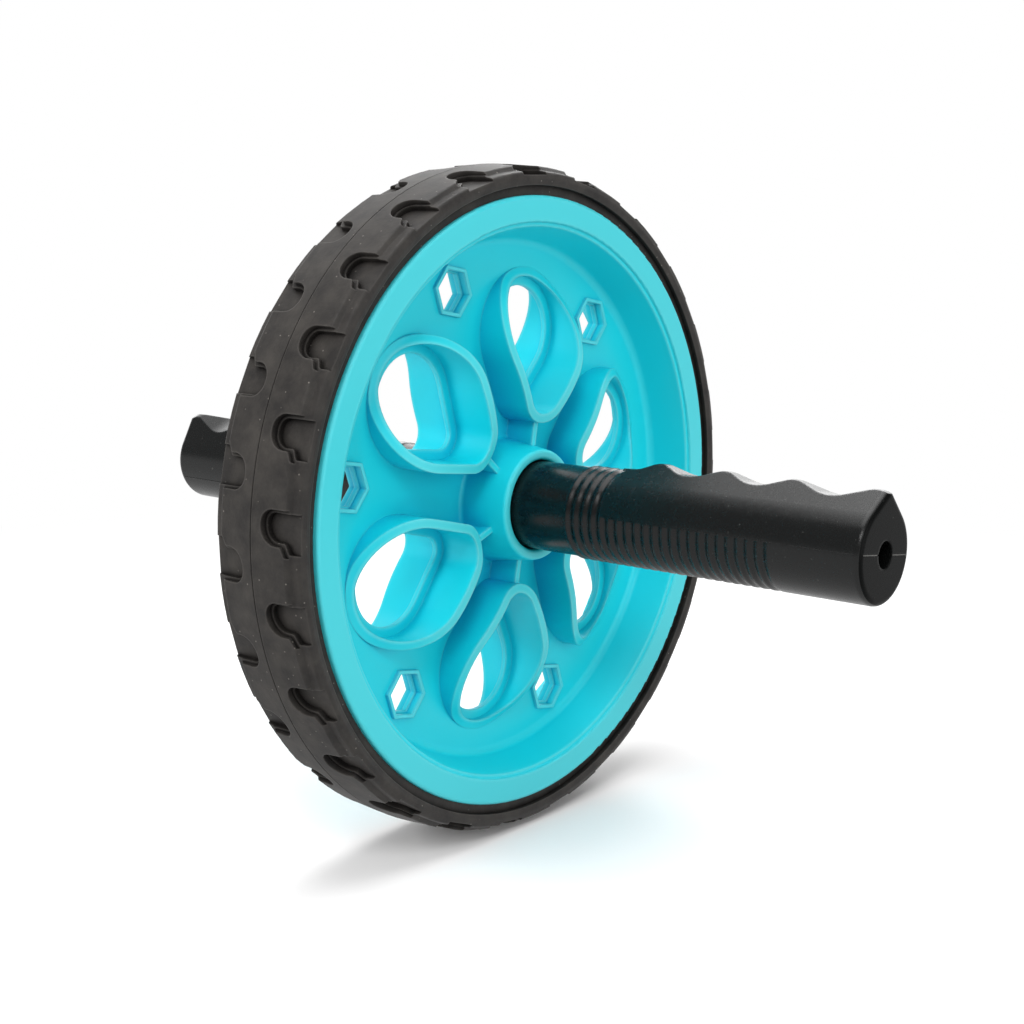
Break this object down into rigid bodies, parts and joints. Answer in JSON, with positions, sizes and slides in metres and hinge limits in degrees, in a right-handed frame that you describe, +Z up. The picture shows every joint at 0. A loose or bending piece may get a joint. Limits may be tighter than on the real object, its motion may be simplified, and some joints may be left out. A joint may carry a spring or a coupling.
{
  "type": "ab wheel roller",
  "caption": "Ab roller with a turquoise wheel of teardrop tubes, a treaded black tyre and black finger grips on a steel rod.",
  "frame": {"origin": "centre of the wheel on the axle's axis", "axes": "+Y along the axle towards the left handle, +Z up, with the ridges of the finger grips near it, +X across the wheel"},
  "size_m": [0.1804, 0.236, 0.1804],
  "materials": {
    "wheel_plastic": "satin moulded",
    "tyre_rubber": "matt moulded",
    "grip_plastic": "semi-gloss moulded",
    "axle_steel": "drawn bright",
    "bearing_nylon": "natural moulded",
    "washer_steel": "stamped zinc"
  },
  "bodies": {
    "handlebar": {"axle_rod": "axle_steel", "right_handle": "grip_plastic", "left_handle": "grip_plastic", "right_washer": "washer_steel", "left_washer": "washer_steel"},
    "roller": {"wheel": "wheel_plastic", "tyre": "tyre_rubber", "right_bush": "bearing_nylon", "left_bush": "bearing_nylon"}
  },
  "joints": [
    {"name": "wheel_spin", "type": "hinge", "parent": "handlebar", "child": "roller", "pos_m": [0, 0, 0], "axis": [0, 1, 0], "continuous": true}
  ]
}
